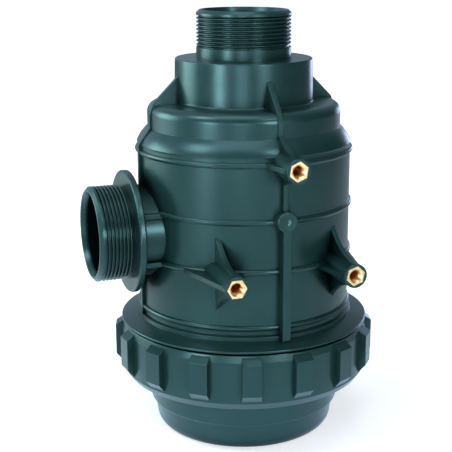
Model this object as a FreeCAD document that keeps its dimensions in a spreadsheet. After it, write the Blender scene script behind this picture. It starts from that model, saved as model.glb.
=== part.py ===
"""A suction filter: moulded housing with two male ports, ring nut, bowl and cartridge.

Millimetres. +Z is up through the outlet port, -X is the inlet port, -Y is the side with the
mounting bosses. The origin is the middle of the bowl's underside.
"""
import FreeCAD
import Part
import PartDesign
import Sketcher
import math
import os

SHEET = "Sizes"

# Driving dimensions: alias, millimetres (angles in degrees, counts plain), meaning.
DRIVING = [
    ("wall", 4.5, "moulded wall"),
    ("barrel_radius", 67.9, "outside of the barrel"),
    ("bead_height", 1.6, "beads stand this far out of the barrel"),
    ("bead_half", 1.75, "half the height of a bead along the axis"),
    ("bead_upper_z", 185.8, "middle of the upper bead"),
    ("bead_mid_z", 151.5, "middle of the middle bead"),
    ("bead_lower_z", 120.8, "middle of the lower bead"),
    ("bead_foot_z", 85.8, "middle of the bead above the flange"),
    ("foot_step_z", 81.5, "top of the step that carries the barrel's foot"),
    ("foot_step_out", 2.1, "the step stands this far out of the barrel"),
    ("foot_step_fall", 0.9, "slope of the step's top"),
    ("flange_past", 0.1, "the bottom flange stands this far out past the ring nut"),
    ("flange_under_z", 74.3, "underside of the flange"),
    ("flange_rim", 1.3, "straight edge of the flange's rim"),
    ("flange_rise", 2.9, "the flange's top slopes up this much to the barrel"),
    ("dome_foot_z", 190.4, "foot of the domed shoulder"),
    ("dome_top_z", 199.7, "top of the domed shoulder"),
    ("dome_arc", 22.3, "radius of the shoulder's outline"),
    ("dome_sill", 0.3, "the shoulder's foot stands this far out of the barrel"),
    ("drum_radius", 61.3, "drum above the shoulder"),
    ("drum_top_z", 214.9, "top face of the drum"),
    ("drum_round", 6.0, "rounding of the drum's top edge"),
    ("collar_foot_radius", 43.9, "collar at its foot"),
    ("collar_top_radius", 43.3, "collar at its top"),
    ("collar_top_z", 242.0, "top face of the collar"),
    ("collar_round", 0.8, "rounding of the collar's top edge"),
    ("collar_fillet", 1.5, "hollow rounding at the collar's foot"),
    ("edge_break", 0.8, "chamfer on the mouths of bores and the ends of spigots"),
    ("rim_round", 0.7, "rounding of the flange's upper rim"),
    ("cut_past", 1.0, "cuts run this far past a face"),
    ("port_crest_radius", 29.8, "crest of the ports' thread"),
    ("port_root_radius", 28.35, "root of the ports' thread"),
    ("port_bore_radius", 25.0, "waterway of both ports"),
    ("port_lip_radius", 27.9, "flat end of a port inside its chamfer"),
    ("port_mouth_out", 1.6, "the mouth of a port widens by this much in radius"),
    ("port_mouth_deep", 3.5, "depth of that taper"),
    ("port_lip_land", 1.4, "straight part of the port's end ring"),
    ("port_lip_chamfer", 1.8, "chamfer of the port's end ring along the axis"),
    ("outlet_tip_z", 271.6, "end of the outlet port"),
    ("outlet_shank", 6.8, "plain shank under the outlet's thread"),
    ("inlet_z", 136.2, "axis of the inlet port"),
    ("inlet_tip", 102.0, "end of the inlet port from the filter's axis"),
    ("inlet_flange_face", 79.7, "front of the inlet's flange from the filter's axis"),
    ("inlet_flange_thick", 4.3, "thickness of the inlet's flange"),
    ("inlet_flange_radius", 38.5, "inlet's flange"),
    ("inlet_neck_radius", 28.8, "neck between the inlet's flange and the barrel"),
    ("inlet_flange_round", 1.0, "rounding of the inlet flange's rim"),
    ("inlet_web_half", 27.0, "half width of the webs beside the inlet's neck"),
    ("inlet_web_upper_z", 150.7, "upper web beside the inlet's neck"),
    ("inlet_web_lower_z", 120.1, "lower web beside the inlet's neck"),
    ("rib_thick", 3.0, "side ribs, gussets and webs"),
    ("rib_out", 2.0, "side ribs stand this far out of the barrel"),
    ("rib_drum_out", 1.0, "side ribs stand this far out of the drum"),
    ("gusset_top_z", 231.5, "top of the gussets on the collar"),
    ("gusset_out", 16.2, "reach of the gussets beyond the collar"),
    ("front_rib_thick", 5.1, "front rib below the round pad"),
    ("front_rib_upper_thick", 2.8, "front rib above the round pad"),
    ("front_rib_out", 6.5, "front rib stands this far out below the pad"),
    ("front_rib_upper_out", 3.2, "front rib stands this far out above the pad"),
    ("front_rib_foot_rise", 3.0, "height of the slope at the front rib's foot"),
    ("front_rib_foot_in", 1.8, "depth of that slope"),
    ("pad_z", 152.5, "middle of the round pad on the front rib"),
    ("pad_radius", 6.4, "round pad on the front rib"),
    ("pad_round", 0.9, "rounding of the pad's edge"),
    ("pad_dish", 0.3, "the pad's face is hollow by this much"),
    ("pad_out", 7.1, "the pad's face stands this far out of the barrel"),
    ("boss_face", 90.1, "faces of the mounting bosses from the filter's axis"),
    ("boss_radius", 7.35, "mounting bosses"),
    ("boss_spacing", 74.8, "distance between the two lower bosses"),
    ("boss_lower_z", 120.1, "height of the two lower bosses"),
    ("boss_web_back", 3.8, "the bosses' webs start this far behind the face"),
    ("boss_fin_slope", 0.52, "rise of the upright boss webs per millimetre inwards"),
    ("boss_fin_arc", 46.0, "hollow edge of the upright boss webs"),
    ("boss_fin_sunk", 12.6, "the upright boss webs end this far inside the barrel's face"),
    ("boss_web_slope", 0.24, "spread of the level boss webs per millimetre inwards"),
    ("insert_flats", 10.6, "width across flats of the brass inserts"),
    ("insert_length", 14.0, "length of the brass inserts"),
    ("insert_bore_radius", 3.4, "threaded hole of the inserts"),
    ("insert_bore_depth", 12.0, "depth of the threaded hole"),
    ("insert_mouth_out", 0.85, "countersink of the threaded hole, in radius and in depth"),
    ("skirt_end_land", 1.5, "height of the skirt's end ring"),
    ("skirt_bore_radius", 70.0, "bore of the skirt"),
    ("skirt_wall", 3.9, "wall of the skirt at the root of its thread"),
    ("skirt_end_out", 1.3, "the skirt's end ring stands this far out of the root"),
    ("skirt_bore_top_z", 71.5, "top of the skirt's bore"),
    ("nut_play", 0.4, "radial play between the skirt's end ring and the nut's bore"),
    ("nut_wall", 4.9, "wall of the ring nut"),
    ("nut_cone_in", 0.9, "the nut narrows by this much in radius towards its top"),
    ("nut_cone_height", 4.6, "height of that cone"),
    ("nut_top_gap", 1.5, "gap between ring nut and flange"),
    ("nut_bottom_z", 37.5, "underside of the ring nut"),
    ("nut_lip", 5.5, "thickness of the nut's inner lip"),
    ("nut_edge_round", 0.6, "rounding of the nut's top edge"),
    ("nut_lip_play", 0.6, "radial play between the bowl and the nut's lip"),
    ("nut_foot_rise", 4.5, "height of the chamfer round the nut's foot"),
    ("nut_foot_in", 3.1, "depth of the chamfer round the nut's foot"),
    ("lug_count", 16, "grip lugs on the ring nut"),
    ("lug_out", 4.3, "the lugs stand this far out of the nut"),
    ("lug_width", 11.8, "width of a lug"),
    ("lug_first_angle", 5.6, "angle of the first lug from +X"),
    ("lug_shoulder", 3.5, "slope at the top of a lug along the axis"),
    ("lug_heel", 4.9, "slope at the bottom of a lug along the axis"),
    ("lug_foot_z", 43.3, "bottom of the lugs"),
    ("lug_root_depth", 3.4, "the lugs reach this far into the nut's wall"),
    ("lug_top_drop", 1.4, "the lugs start this far under the nut's top"),
    ("seat_gap", 0.2, "play between flat faces of pieces that turn on each other"),
    ("slide_gap", 0.3, "radial play of pieces that slide in each other"),
    ("seal_gap", 0.1, "seals stay this far from the bore they run in"),
    ("bowl_flange_play", 0.6, "radial play of the bowl's flange in the nut's bore"),
    ("bowl_flange_thick", 6.0, "thickness of the bowl's flange"),
    ("bowl_neck_in", 0.3, "the bowl's neck lies this far inside the spigot's bore"),
    ("bowl_step_z", 19.6, "step between the bowl's neck and its cup"),
    ("bowl_step_round", 2.7, "hollow rounding under the step"),
    ("bowl_cup_in", 3.8, "the bowl's cup lies this far inside its neck"),
    ("bowl_foot_round", 8.7, "rounding of the bowl's foot"),
    ("bowl_cup_wall", 5.5, "wall of the cup"),
    ("bowl_floor", 5.0, "floor of the bowl"),
    ("bowl_foot_inside", 6.2, "rounding inside the bowl's foot"),
    ("bowl_ledge", 0.8, "the cartridge's ledge lies this far above the outer step"),
    ("bowl_shoulder", 1.5, "rise of the spigot's inner slope above the flange's underside"),
    ("bowl_spigot_top_z", 62.7, "top of the spigot inside the skirt"),
    ("bowl_spigot_wall", 7.2, "wall of the spigot"),
    ("ring_groove_z", 54.0, "lower side of the groove for the bowl's seal ring"),
    ("ring_cord", 3.0, "cord diameter of the bowl's seal ring"),
    ("ring_groove_play", 0.3, "side play of the seal rings in their grooves"),
    ("gasket_thick", 2.0, "gasket under the cartridge"),
    ("gasket_in", 0.3, "the gasket's bore lies this far outside the cup's bore"),
    ("cap_thick", 4.0, "end plates of the cartridge's caps"),
    ("cap_lip", 6.0, "height of the lips that hold the mesh"),
    ("cap_lip_thick", 1.4, "thickness of those lips"),
    ("cap_play", 0.3, "play between the mesh and the caps' lips"),
    ("cap_bore_in", 6.4, "the lower cap's bore lies this far inside the cage's face"),
    ("cartridge_top_z", 204.2, "top of the upper cap's plate"),
    ("cap_neck_height", 20.0, "neck of the upper cap in the collar"),
    ("cap_neck_wall", 4.3, "wall of that neck"),
    ("cap_neck_gap", 0.5, "radial play of the neck in the collar"),
    ("neck_seal_cord", 2.6, "cord diameter of the neck's seal"),
    ("neck_seal_rise", 12.0, "height of the neck's groove above the cap's plate"),
    ("cage_in", 5.3, "the cage stands this far inside the bore of the bowl's neck"),
    ("cage_thick", 3.0, "thickness of the cage"),
    ("cage_rib_count", 12, "upright ribs of the cage"),
    ("cage_rib_width", 3.6, "width of an upright rib"),
    ("cage_rows", 5, "rows of windows in the cage"),
    ("cage_hoop", 4.0, "height of the hoops between the rows"),
    ("cage_end", 8.0, "height of the cage's plain ends"),
    ("mesh_thick", 0.4, "thickness of the mesh sleeve"),
    ("mesh_play", 0.1, "play between the mesh and the cage"),
]

# Angle of one corner of each insert's hexagon, in degrees from +X.
INSERT_TURNS = {"upper": 82.0, "lower_left": 0.0, "lower_right": 78.0}

HEX_SIDES = 6
HEX_STEP = 360.0 / HEX_SIDES
SIDE_RIBS = 4

doc = FreeCAD.newDocument("SuctionFilter")


class Size:
    """A number together with the sheet expression that gives it."""

    def __init__(self, value, text):
        self.value = value
        self.text = text

    def joined(self, sign, other, value):
        """This size and another under one sign, as a new size."""
        return Size(value, "(%s %s %s)" % (self.text, sign, as_size(other).text))

    def __add__(self, other):
        return self.joined("+", other, self.value + as_size(other).value)

    def __sub__(self, other):
        return self.joined("-", other, self.value - as_size(other).value)

    def __mul__(self, other):
        return self.joined("*", other, self.value * as_size(other).value)

    def __truediv__(self, other):
        return self.joined("/", other, self.value / as_size(other).value)

    def __neg__(self):
        return Size(-self.value, "(-1 * %s)" % self.text)


def as_size(thing):
    """A size as it is, or a plain number as a size."""
    if isinstance(thing, Size):
        return thing
    return Size(float(thing), "%.6f" % thing)


def make_sheet():
    """The spreadsheet of driving dimensions, and a size for each of its cells."""
    sheet = doc.addObject("Spreadsheet::Sheet", SHEET)
    sizes = {}
    for row, (alias, number, meaning) in enumerate(DRIVING, start=1):
        cell = "B%d" % row
        sheet.set("A%d" % row, meaning)
        sheet.set(cell, str(number))
        sheet.setAlias(cell, alias)
        sizes[alias] = Size(float(number), "%s.%s" % (SHEET, alias))
    doc.recompute()
    return sizes


size = make_sheet()


def bind(thing, prop, amount):
    """Sets a property from a size and ties it to the sheet."""
    amount = as_size(amount)
    thing.setExpression(prop, amount.text)


def make_body(label):
    """An empty body with its own label."""
    body = doc.addObject("PartDesign::Body", label)
    body.Label = label
    return body


def origin_part(body, role):
    """A plane or axis of the body's own origin."""
    return next(item for item in body.Origin.OriginFeatures if item.Role == role)


def make_sketch(body, name, role, offset=None, shift=None):
    """A sketch on one of the body's planes; shift holds sizes for its offset along x, y and z."""
    sketch = body.newObject("Sketcher::SketchObject", name)
    sketch.AttachmentSupport = (origin_part(body, role), [""])
    sketch.MapMode = "FlatFace"
    if offset is not None:
        sketch.AttachmentOffset = offset
    for axis, amount in (shift or {}).items():
        bind(sketch, ".AttachmentOffset.Base.%s" % axis, amount)
    return sketch


def arc_between(start, end, radius, side):
    """The arc from start to end with its centre to the left (1) or right (-1) of the way."""
    chord_x = end[0] - start[0]
    chord_y = end[1] - start[1]
    half = math.hypot(chord_x, chord_y) / 2
    reach = math.sqrt(max(radius * radius - half * half, 0.0)) * side / (2 * half)
    centre = FreeCAD.Vector(
        (start[0] + end[0]) / 2 - chord_y * reach, (start[1] + end[1]) / 2 + chord_x * reach, 0
    )
    first, last = (start, end) if side > 0 else (end, start)
    angle_first = math.atan2(first[1] - centre.y, first[0] - centre.x)
    angle_last = math.atan2(last[1] - centre.y, last[0] - centre.x)
    if angle_last <= angle_first:
        angle_last += 2 * math.pi
    circle = Part.Circle(centre, FreeCAD.Vector(0, 0, 1), radius)
    return Part.ArcOfCircle(circle, angle_first, angle_last)


def add_outline(sketch, steps):
    """Draws a closed outline. Each step is (x, y), or (x, y, radius, side) for an arc to it."""
    corners = [(as_size(step[0]), as_size(step[1])) for step in steps]
    base = sketch.GeometryCount
    ends = []
    for index, step in enumerate(steps):
        start = (corners[index - 1][0].value, corners[index - 1][1].value)
        end = (corners[index][0].value, corners[index][1].value)
        if len(step) == 4:
            sketch.addGeometry(arc_between(start, end, as_size(step[2]).value, step[3]), False)
            ends.append((1, 2) if step[3] > 0 else (2, 1))
        else:
            here = FreeCAD.Vector(start[0], start[1], 0)
            there = FreeCAD.Vector(end[0], end[1], 0)
            sketch.addGeometry(Part.LineSegment(here, there), False)
            ends.append((1, 2))
    for index, step in enumerate(steps):
        geometry = base + index
        following = base + (index + 1) % len(steps)
        finish = ends[index][1]
        begin = ends[(index + 1) % len(steps)][0]
        sketch.addConstraint(Sketcher.Constraint("Coincident", geometry, finish, following, begin))
        for kind, amount in (("DistanceX", corners[index][0]), ("DistanceY", corners[index][1])):
            tie_constraint(sketch, amount, kind, geometry, finish)
        if len(step) == 4:
            tie_constraint(sketch, as_size(step[2]), "Radius", geometry)


def tie_constraint(sketch, amount, kind, *where):
    """A sketch constraint with its value taken from the sheet."""
    number = sketch.addConstraint(Sketcher.Constraint(kind, *where, amount.value))
    sketch.setExpression("Constraints[%d]" % number, amount.text)


def add_circle(sketch, radius, x=0.0, y=0.0):
    """A circle in a sketch, tied to the sheet by its radius and its centre."""
    x = as_size(x)
    y = as_size(y)
    centre = FreeCAD.Vector(x.value, y.value, 0)
    geometry = sketch.addGeometry(Part.Circle(centre, FreeCAD.Vector(0, 0, 1), radius.value), False)
    tie_constraint(sketch, radius, "Radius", geometry)
    tie_constraint(sketch, x, "DistanceX", geometry, 3)
    tie_constraint(sketch, y, "DistanceY", geometry, 3)


def revolve(body, sketch, name, axis="V_Axis", cut=False):
    """A full turn of the sketch about one of its own axes, added or cut."""
    kind = "PartDesign::Groove" if cut else "PartDesign::Revolution"
    feature = body.newObject(kind, name)
    feature.Profile = sketch
    feature.ReferenceAxis = (sketch, [axis])
    feature.Angle = 360.0
    return feature


def extrude(body, sketch, name, length, middle=False, reverse=False, cut=False):
    """A pad or pocket of the sketch, from its plane or spread to both sides of it."""
    feature = body.newObject("PartDesign::Pocket" if cut else "PartDesign::Pad", name)
    feature.Profile = sketch
    bind(feature, "Length", length)
    if middle:
        feature.SideType = "Symmetric"
    feature.Reversed = reverse
    return feature


def pattern_round(body, feature, name, count):
    """Copies a feature evenly round the body's Z axis."""
    pattern = body.newObject("PartDesign::PolarPattern", name)
    pattern.Originals = [feature]
    pattern.Axis = (origin_part(body, "Z_Axis"), [""])
    pattern.Angle = 360.0
    bind(pattern, "Occurrences", count)
    body.Tip = pattern
    return pattern


# Housing

def bead_outline(outward, middle_z):
    """The three numbers of a bead going down: end of the barrel, then the arc over the bead."""
    height = size["bead_height"]
    half = size["bead_half"]
    radius = (height * height + half * half) / (height * 2)
    return [(outward, middle_z + half), (outward, middle_z - half, radius, -1)]


def housing_outline():
    """The outside of the housing from the outlet's tip down to the end of the skirt."""
    barrel = size["barrel_radius"]
    tip = size["outlet_tip_z"]
    land_z = tip - size["port_lip_chamfer"]
    root_top = land_z - size["port_lip_land"]
    collar_top = size["collar_top_z"]
    shank_top = collar_top + size["outlet_shank"]
    drum = size["drum_radius"]
    drum_top = size["drum_top_z"]
    drum_round = size["drum_round"]
    collar_round = size["collar_round"]
    fillet = size["collar_fillet"]
    rim_round = size["rim_round"]
    end_break = size["edge_break"]
    flange = nut_radius() + size["flange_past"]
    flange_under = size["flange_under_z"]
    flange_top = flange_under + size["flange_rim"]
    step = barrel + size["foot_step_out"]
    skirt_end = nut_lip_top_z() + size["seat_gap"] + size["bowl_flange_thick"] + size["slide_gap"]
    steps = [
        (0, tip),
        (size["port_lip_radius"], tip),
        (size["port_crest_radius"], land_z),
        (size["port_crest_radius"], root_top),
        (size["port_root_radius"], root_top),
        (size["port_root_radius"], shank_top),
        (size["port_crest_radius"], shank_top),
        (size["port_crest_radius"], collar_top),
        (size["collar_top_radius"] - collar_round, collar_top),
        (size["collar_top_radius"], collar_top - collar_round, collar_round, -1),
        (size["collar_foot_radius"], drum_top + fillet),
        (size["collar_foot_radius"] + fillet, drum_top, fillet, 1),
        (drum - drum_round, drum_top),
        (drum, drum_top - drum_round, drum_round, -1),
        (drum, size["dome_top_z"]),
        (barrel + size["dome_sill"], size["dome_foot_z"], size["dome_arc"], -1),
        (barrel, size["dome_foot_z"] - end_break),
    ]
    for alias in ("bead_upper_z", "bead_mid_z", "bead_lower_z", "bead_foot_z"):
        steps += bead_outline(barrel, size[alias])
    steps += [
        (barrel, size["foot_step_z"]),
        (step, size["foot_step_z"] - size["foot_step_fall"]),
        (step, flange_top + size["flange_rise"]),
        (flange - rim_round, flange_top),
        (flange, flange_top - rim_round, rim_round, -1),
        (flange, flange_under),
        (skirt_root_radius(), flange_under),
        (skirt_root_radius(), skirt_end + size["skirt_end_land"]),
        (skirt_end_radius(), skirt_end + size["skirt_end_land"]),
        (skirt_end_radius(), skirt_end + end_break),
        (skirt_end_radius() - end_break, skirt_end),
        (0, skirt_end),
    ]
    return steps


def cavity_outline():
    """The inside of the housing, open at the skirt and at the outlet."""
    wall = size["wall"]
    inside = size["barrel_radius"] - wall
    drum_inside = size["drum_radius"] - wall
    drum_roof = size["drum_top_z"] - wall
    collar_inside = collar_bore_radius()
    collar_roof = size["collar_top_z"] - wall
    bore = size["port_bore_radius"]
    mouth = bore + size["port_mouth_out"]
    tip = size["outlet_tip_z"]
    corner = wall
    skirt_top = size["skirt_bore_top_z"]
    return [
        (0, nut_lip_top_z()),
        (size["skirt_bore_radius"], nut_lip_top_z()),
        (size["skirt_bore_radius"], skirt_top),
        (inside, skirt_top + (size["skirt_bore_radius"] - inside)),
        (inside, size["dome_foot_z"] - wall / 3),
        (drum_inside, size["dome_top_z"] - wall / 3),
        (drum_inside, drum_roof - corner),
        (drum_inside - corner, drum_roof, corner, 1),
        (collar_inside, drum_roof),
        (collar_inside, collar_roof),
        (bore, collar_roof),
        (bore, tip - size["port_mouth_deep"]),
        (mouth, tip),
        (mouth, tip + size["cut_past"]),
        (0, tip + size["cut_past"]),
    ]


def collar_bore_radius():
    """The bore inside the collar, which takes the cartridge's neck."""
    return size["collar_top_radius"] - size["wall"]


def nut_lip_top_z():
    """The face inside the ring nut that carries the bowl's flange."""
    return size["nut_bottom_z"] + size["nut_lip"]


def skirt_root_radius():
    """The root of the thread on the skirt."""
    return size["skirt_bore_radius"] + size["skirt_wall"]


def skirt_end_radius():
    """The skirt's end ring, as wide as the crest of its thread."""
    return skirt_root_radius() + size["skirt_end_out"]


def nut_bore_radius():
    """The bore of the ring nut, which clears the skirt's end ring."""
    return skirt_end_radius() + size["nut_play"]


def nut_radius():
    """The outside of the ring nut."""
    return nut_bore_radius() + size["nut_wall"]


def add_inlet(body):
    """The side port: neck, flange and threaded spigot, turned about their own axis."""
    sketch = make_sketch(body, "InletProfile", "XZ_Plane", shift={"y": size["inlet_z"]})
    face = size["inlet_flange_face"]
    tip = size["inlet_tip"]
    land = tip - size["port_lip_chamfer"]
    root_end = land - size["port_lip_land"]
    back = face - size["inlet_flange_thick"]
    rounding = size["inlet_flange_round"]
    add_outline(sketch, [
        (-(size["barrel_radius"] / 2), 0),
        (-tip, 0),
        (-tip, size["port_lip_radius"]),
        (-land, size["port_crest_radius"]),
        (-root_end, size["port_crest_radius"]),
        (-root_end, size["port_root_radius"]),
        (-face, size["port_root_radius"]),
        (-face, size["inlet_flange_radius"] - rounding),
        (-(face - rounding), size["inlet_flange_radius"], rounding, -1),
        (-(back + rounding), size["inlet_flange_radius"]),
        (-back, size["inlet_flange_radius"] - rounding, rounding, -1),
        (-back, size["inlet_neck_radius"]),
        (-(size["barrel_radius"] / 2), size["inlet_neck_radius"]),
    ])
    revolve(body, sketch, "Inlet", axis="H_Axis")


def cut_inlet_bore(body):
    """The waterway of the side port, through the barrel's wall."""
    sketch = make_sketch(body, "InletBoreProfile", "XZ_Plane", shift={"y": size["inlet_z"]})
    bore = size["port_bore_radius"]
    tip = size["inlet_tip"]
    mouth = bore + size["port_mouth_out"]
    add_outline(sketch, [
        (-(size["barrel_radius"] / 2), 0),
        (-(tip + size["cut_past"]), 0),
        (-(tip + size["cut_past"]), mouth),
        (-tip, mouth),
        (-(tip - size["port_mouth_deep"]), bore),
        (-(size["barrel_radius"] / 2), bore),
    ])
    revolve(body, sketch, "InletBore", axis="H_Axis", cut=True)


def add_inlet_webs(body):
    """Level webs above and below the neck that tie the inlet's flange to the barrel."""
    half = size["inlet_web_half"]
    outer = size["inlet_flange_face"] - size["inlet_flange_thick"] / 2
    inner = size["barrel_radius"] - size["wall"] * 4
    places = (("InletUpperWeb", "inlet_web_upper_z"), ("InletLowerWeb", "inlet_web_lower_z"))
    for name, alias in places:
        sketch = make_sketch(body, name + "Shape", "XY_Plane", shift={"z": size[alias]})
        add_outline(sketch, [(-outer, -half), (-inner, -half), (-inner, half), (-outer, half)])
        extrude(body, sketch, name, size["rib_thick"], middle=True)


def add_side_ribs(body):
    """Four upright ribs that run from a gusset on the collar down to the flange."""
    sketch = make_sketch(body, "SideRibShape", "XZ_Plane")
    wall = size["wall"]
    rib = size["barrel_radius"] + size["rib_out"]
    drum_rib = size["drum_radius"] + size["rib_drum_out"]
    gusset_foot = size["collar_foot_radius"] + size["gusset_out"]
    flange_top = size["flange_under_z"] + size["flange_rim"]
    inner = size["barrel_radius"] - wall * 2
    add_outline(sketch, [
        (collar_bore_radius() - wall, size["gusset_top_z"]),
        (size["collar_foot_radius"], size["gusset_top_z"]),
        (gusset_foot, size["gusset_top_z"] - size["gusset_out"]),
        (drum_rib, size["drum_top_z"] - size["drum_round"]),
        (drum_rib, size["dome_top_z"] + size["rib_drum_out"]),
        (rib, size["dome_foot_z"]),
        (rib, flange_top),
        (inner, flange_top),
        (inner, size["dome_foot_z"] - wall * 2),
        (size["drum_radius"] - wall * 3, size["dome_top_z"] - wall),
        (collar_bore_radius() - wall, size["drum_top_z"] - wall * 2),
    ])
    pad = extrude(body, sketch, "SideRib", size["rib_thick"], middle=True)
    pattern_round(body, pad, "SideRibs", as_size(SIDE_RIBS))


def front_turn():
    """Turns a sketch on the YZ plane so that its x runs along -Y and its normal along -X."""
    return FreeCAD.Placement(
        FreeCAD.Vector(0, 0, 0), FreeCAD.Rotation(FreeCAD.Vector(0, 1, 0), 180)
    )


def add_front_rib(body):
    """The front rib: narrow above the round pad, wide and deep below it."""
    inner = size["barrel_radius"] - size["wall"] * 2
    upper = size["barrel_radius"] + size["front_rib_upper_out"]
    lower = size["barrel_radius"] + size["front_rib_out"]
    flange_top = size["flange_under_z"] + size["flange_rim"]
    sketch = make_sketch(body, "FrontRibUpperShape", "YZ_Plane", offset=front_turn())
    add_outline(sketch, [
        (inner, size["bead_mid_z"]),
        (upper, size["bead_mid_z"]),
        (upper, size["bead_upper_z"]),
        (inner, size["bead_upper_z"]),
    ])
    extrude(body, sketch, "FrontRibUpper", size["front_rib_upper_thick"], middle=True)
    sketch = make_sketch(body, "FrontRibLowerShape", "YZ_Plane", offset=front_turn())
    add_outline(sketch, [
        (inner, flange_top),
        (lower - size["front_rib_foot_in"], flange_top),
        (lower, flange_top + size["front_rib_foot_rise"]),
        (lower, size["bead_mid_z"]),
        (inner, size["bead_mid_z"]),
    ])
    extrude(body, sketch, "FrontRibLower", size["front_rib_thick"], middle=True)
    add_pad(body, inner)


def add_pad(body, inner):
    """The round pad with its hollow face, turned about its own axis."""
    face = size["barrel_radius"] + size["pad_out"]
    radius = size["pad_radius"]
    rounding = size["pad_round"]
    dish = size["pad_dish"]
    flat = radius - rounding
    hollow = (flat * flat + dish * dish) / (dish * 2)
    sketch = make_sketch(
        body, "PadShape", "YZ_Plane", offset=front_turn(), shift={"y": size["pad_z"]}
    )
    add_outline(sketch, [
        (inner, 0),
        (face - dish, 0),
        (face, flat, hollow, -1),
        (face - rounding, radius, rounding, 1),
        (inner, radius),
    ])
    revolve(body, sketch, "Pad", axis="H_Axis")


def boss_places():
    """Name, x and z of each mounting boss."""
    half = size["boss_spacing"] / 2
    return [
        ("upper", as_size(0), size["bead_upper_z"]),
        ("lower_left", -half, size["boss_lower_z"]),
        ("lower_right", half, size["boss_lower_z"]),
    ]


def boss_root(x):
    """Where a boss ends, behind the chord of the barrel at its own x."""
    inside = size["barrel_radius"] - size["wall"] * 2
    return inside - (x * x) / (size["barrel_radius"] + size["wall"] * 6)


def add_boss(body, name, x, z):
    """One mounting boss with an upright web above and below it and a level web on each side."""
    face = size["boss_face"]
    radius = size["boss_radius"]
    start = face - size["boss_web_back"]
    root = boss_root(x)
    sketch = make_sketch(body, "Boss_%s_shape" % name, "XZ_Plane", shift={"z": face})
    add_circle(sketch, radius, x, z)
    extrude(body, sketch, "Boss_%s" % name, face - root, reverse=True)

    fin_root = size["barrel_radius"] - size["boss_fin_sunk"]
    rise = radius + (start - fin_root) * size["boss_fin_slope"]
    hollow = size["boss_fin_arc"]
    sketch = make_sketch(
        body, "Boss_%s_fin_shape" % name, "YZ_Plane", offset=front_turn(), shift={"z": x}
    )
    add_outline(sketch, [
        (fin_root, z - rise),
        (start, z - radius, hollow, -1),
        (start, z + radius),
        (fin_root, z + rise, hollow, -1),
    ])
    extrude(body, sketch, "Boss_%s_fin" % name, size["rib_thick"], middle=True)

    spread = radius + (start - root) * size["boss_web_slope"]
    sketch = make_sketch(body, "Boss_%s_web_shape" % name, "XY_Plane", shift={"z": z})
    add_outline(sketch, [
        (x - spread, -root),
        (x - radius, -start),
        (x + radius, -start),
        (x + spread, -root),
    ])
    extrude(body, sketch, "Boss_%s_web" % name, size["rib_thick"], middle=True)


def add_hexagon(sketch, flats, x, z, turn):
    """A hexagon across flats round (x, z); turn is the angle of one corner in degrees."""
    corner = flats / math.sqrt(3)
    points = []
    for index in range(HEX_SIDES):
        angle = math.radians(turn + HEX_STEP * index)
        points.append((x + corner * math.cos(angle), z + corner * math.sin(angle)))
    add_outline(sketch, points)


def cut_insert_seat(body, name, x, z):
    """The hexagonal seat of one brass insert."""
    sketch = make_sketch(
        body, "Seat_%s_shape" % name, "XZ_Plane", shift={"z": size["boss_face"]}
    )
    add_hexagon(sketch, size["insert_flats"], x, z, INSERT_TURNS[name])
    extrude(body, sketch, "Seat_%s" % name, size["insert_length"], cut=True)


def make_housing():
    """The housing, one moulding."""
    body = make_body("housing")
    sketch = make_sketch(body, "OutsideProfile", "XZ_Plane")
    add_outline(sketch, housing_outline())
    revolve(body, sketch, "Outside")
    add_side_ribs(body)
    add_front_rib(body)
    add_inlet(body)
    add_inlet_webs(body)
    for name, x, z in boss_places():
        add_boss(body, name, x, z)
    sketch = make_sketch(body, "CavityProfile", "XZ_Plane")
    add_outline(sketch, cavity_outline())
    revolve(body, sketch, "Cavity", cut=True)
    cut_inlet_bore(body)
    for name, x, z in boss_places():
        cut_insert_seat(body, name, x, z)
    return body


def make_insert(name, x, z):
    """A brass insert: a hexagonal bar with a blind threaded hole from its face."""
    body = make_body("insert_" + name)
    face = size["boss_face"]
    sketch = make_sketch(body, "Bar_%s" % name, "XZ_Plane", shift={"z": face})
    add_hexagon(sketch, size["insert_flats"], x, z, INSERT_TURNS[name])
    extrude(body, sketch, "Insert_%s_bar" % name, size["insert_length"], reverse=True)
    sketch = make_sketch(body, "Hole_%s" % name, "XZ_Plane", shift={"z": face})
    add_circle(sketch, size["insert_bore_radius"], x, z)
    extrude(body, sketch, "Insert_%s_hole" % name, size["insert_bore_depth"], cut=True)
    bore = size["insert_bore_radius"]
    widening = size["insert_mouth_out"]
    sketch = make_sketch(
        body, "Mouth_%s" % name, "YZ_Plane", offset=front_turn(), shift={"z": x, "y": z}
    )
    add_outline(sketch, [
        (face - widening, 0),
        (face + size["cut_past"], 0),
        (face + size["cut_past"], bore + widening),
        (face, bore + widening),
        (face - widening, bore),
    ])
    revolve(body, sketch, "Insert_%s_mouth" % name, axis="H_Axis", cut=True)
    return body


# Ring nut

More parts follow.
